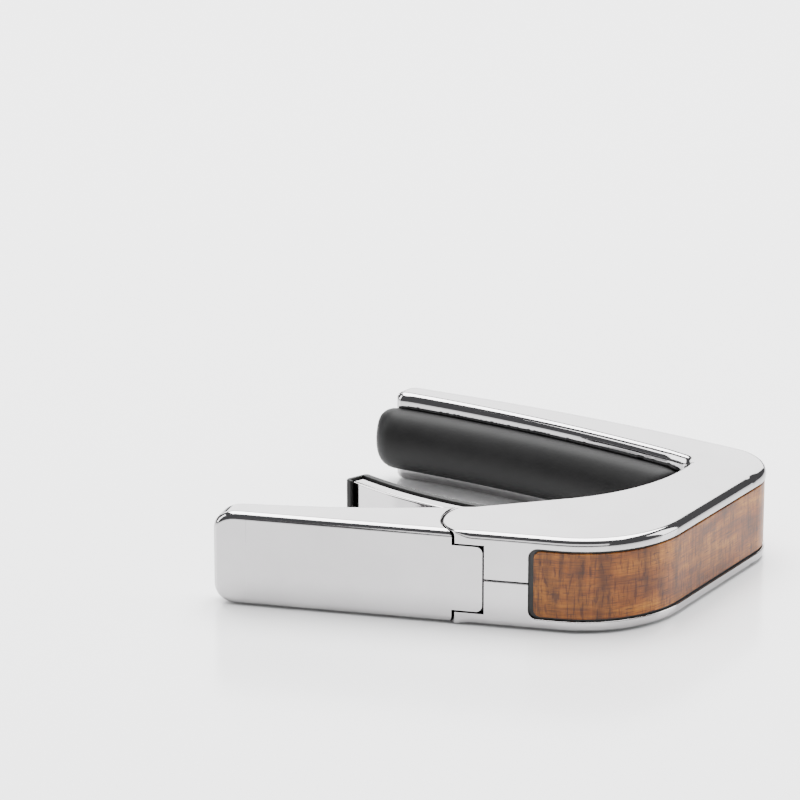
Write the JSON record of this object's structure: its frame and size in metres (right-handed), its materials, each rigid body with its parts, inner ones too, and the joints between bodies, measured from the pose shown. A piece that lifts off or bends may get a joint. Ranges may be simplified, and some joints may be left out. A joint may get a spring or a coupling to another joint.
{
  "type": "guitar capo",
  "caption": "Squeeze-lever guitar capo: chrome casting with a wooden inlay round its back, a half-round fret pad, and a rubber-faced clamp arm.",
  "frame": {"origin": "middle of the footprint at the height of the surface the capo lies on", "axes": "the capo lies on its side: +Z runs through the width of the casting, +X from the lever's tip towards the back of the casting, +Y from the lever towards the fret-pad arm"},
  "size_m": [0.0855, 0.072, 0.015],
  "materials": {
    "chrome": "mirror",
    "figured_wood": "satin",
    "bed_black": "matte",
    "black_rubber": "matte",
    "dark_polymer": "satin",
    "pin_steel": "satin"
  },
  "bodies": {
    "frame": {"frame_half_lower": "chrome", "frame_half_upper": "chrome", "inlay_strip": "figured_wood", "inlay_bed": "bed_black", "fret_pad": "black_rubber", "fret_pad_carrier": "dark_polymer", "lever_pin": "pin_steel", "clamp_pin": "pin_steel", "frame_dowel_1": "pin_steel", "frame_dowel_2": "pin_steel", "frame_dowel_3": "pin_steel", "frame_dowel_4": "pin_steel", "lever_washer_lower": "dark_polymer", "lever_washer_upper": "dark_polymer", "clamp_washer_lower": "dark_polymer", "clamp_washer_upper": "dark_polymer", "spring_bush": "dark_polymer", "return_spring": "pin_steel"},
    "lever": {"lever": "chrome"},
    "clamp": {"clamp_arm": "chrome", "clamp_boot": "black_rubber"}
  },
  "joints": [
    {"name": "lever_hinge", "type": "hinge", "parent": "frame", "child": "lever", "pos_m": [-0.00058, -0.0274, 0.0075], "axis": [0, 0, -1], "range_deg": [0, 14], "stiffness_Nm_per_rad": 0.3, "springref_deg": -28.65, "deforming": ["return_spring"]},
    {"name": "clamp_hinge", "type": "hinge", "parent": "frame", "child": "clamp", "pos_m": [0.0083, -0.0263, 0.0075], "axis": [0, 0, 1], "range_deg": [0, 21]}
  ],
  "couplings": [
    {"joint": "clamp_hinge", "follows": "lever_hinge", "ratio": 1.5}
  ]
}
